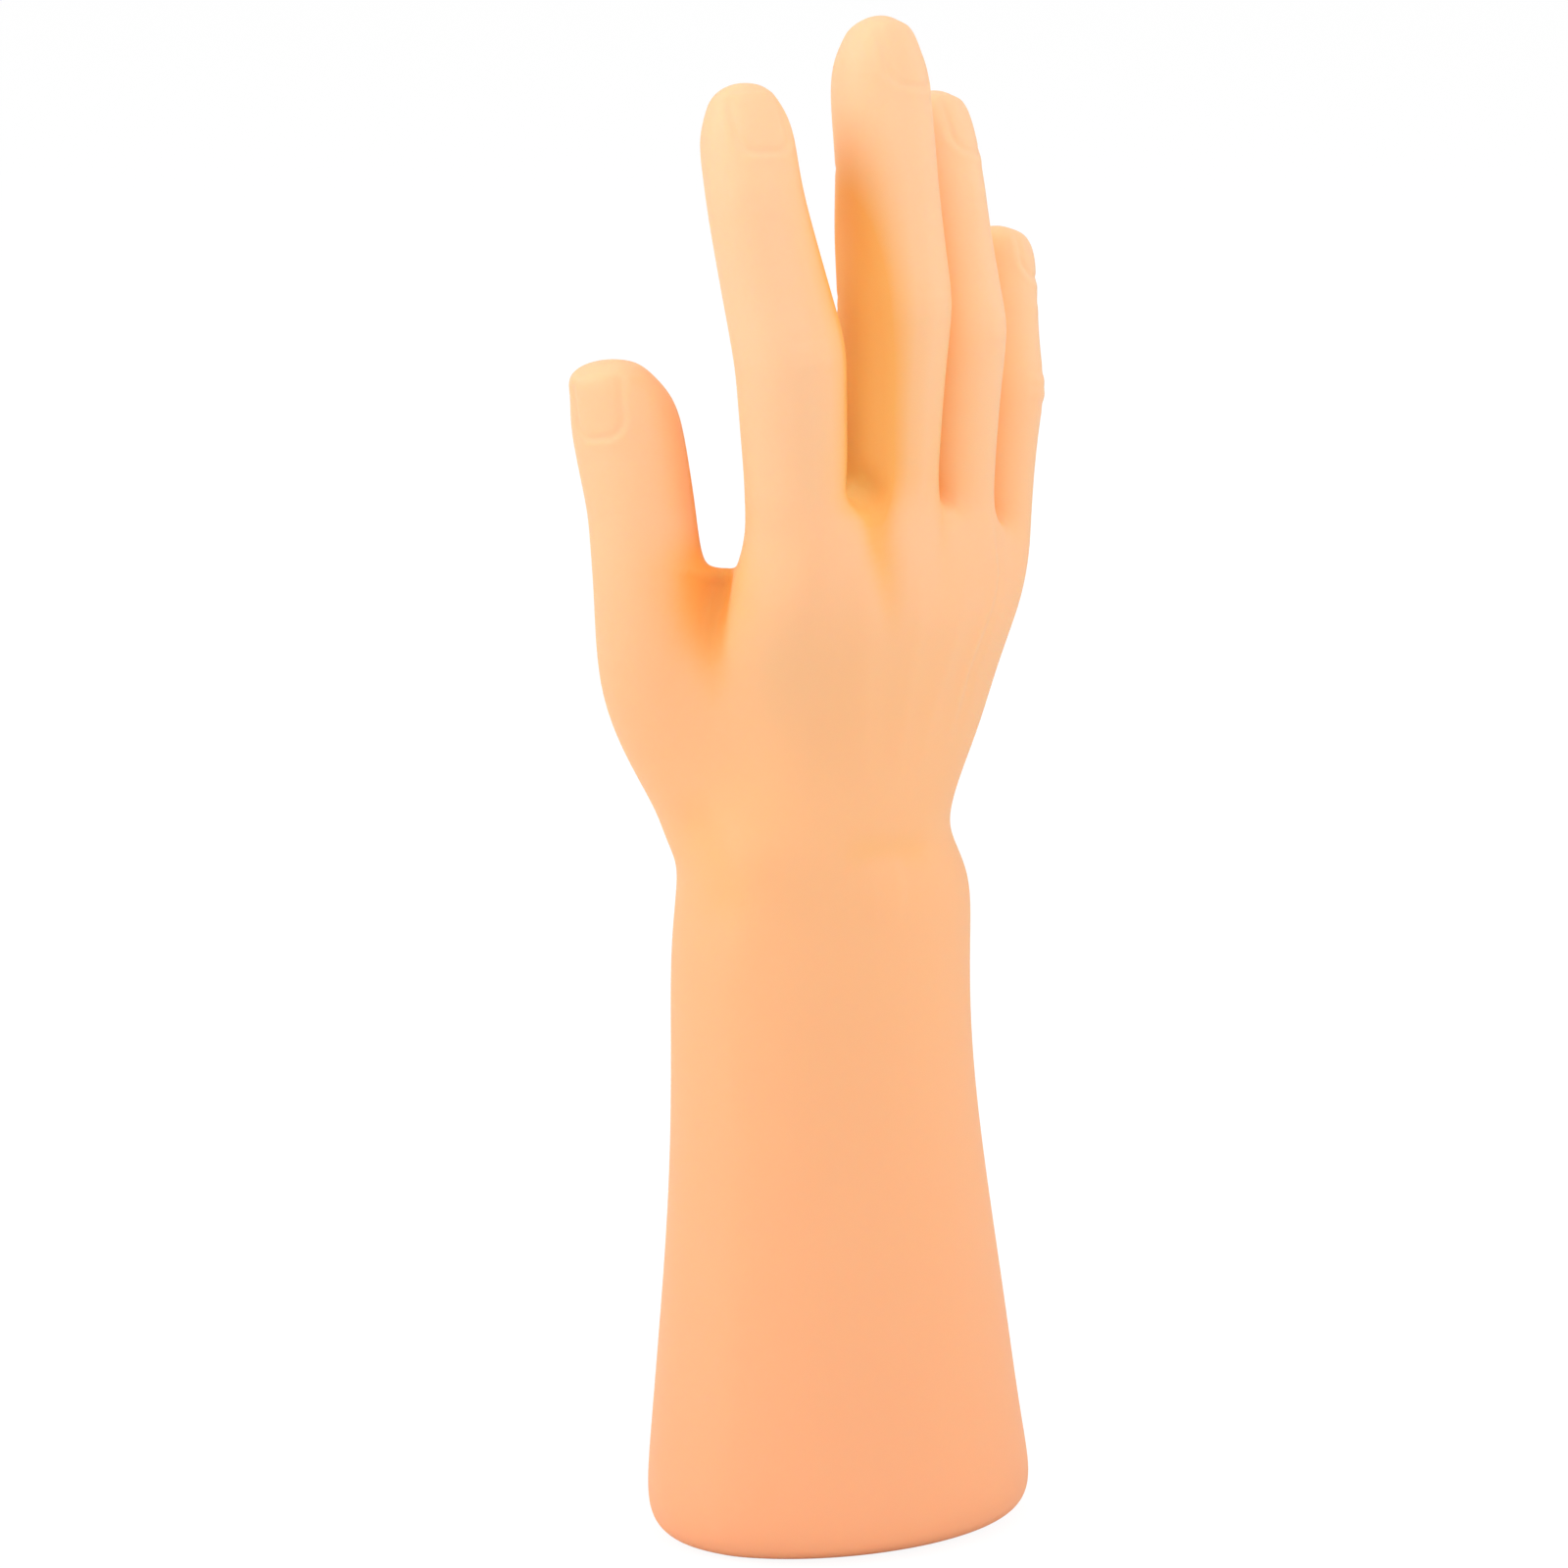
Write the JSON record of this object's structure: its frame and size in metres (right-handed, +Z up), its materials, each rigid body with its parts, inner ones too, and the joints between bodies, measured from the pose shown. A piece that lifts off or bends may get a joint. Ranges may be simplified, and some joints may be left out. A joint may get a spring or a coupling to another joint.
{
  "type": "hand ring display",
  "caption": "Upright right hand on a flared forearm in soft skin-toned vinyl, for showing rings, bracelets and watches; hollow, with an oval plug in the foot.",
  "frame": {"origin": "centre of the flat foot, in the plane that the display stands on", "axes": "+Z up the forearm to the fingertips, +Y toward the palm, +X toward the little finger"},
  "size_m": [0.0835, 0.0542, 0.2478],
  "materials": {
    "skin_vinyl": "matte, soft PVC skin, slightly translucent",
    "plug_vinyl": "matte, moulded"
  },
  "bodies": {
    "root": {"hand_skin": "skin_vinyl", "base_plug": "plug_vinyl"}
  },
  "joints": []
}
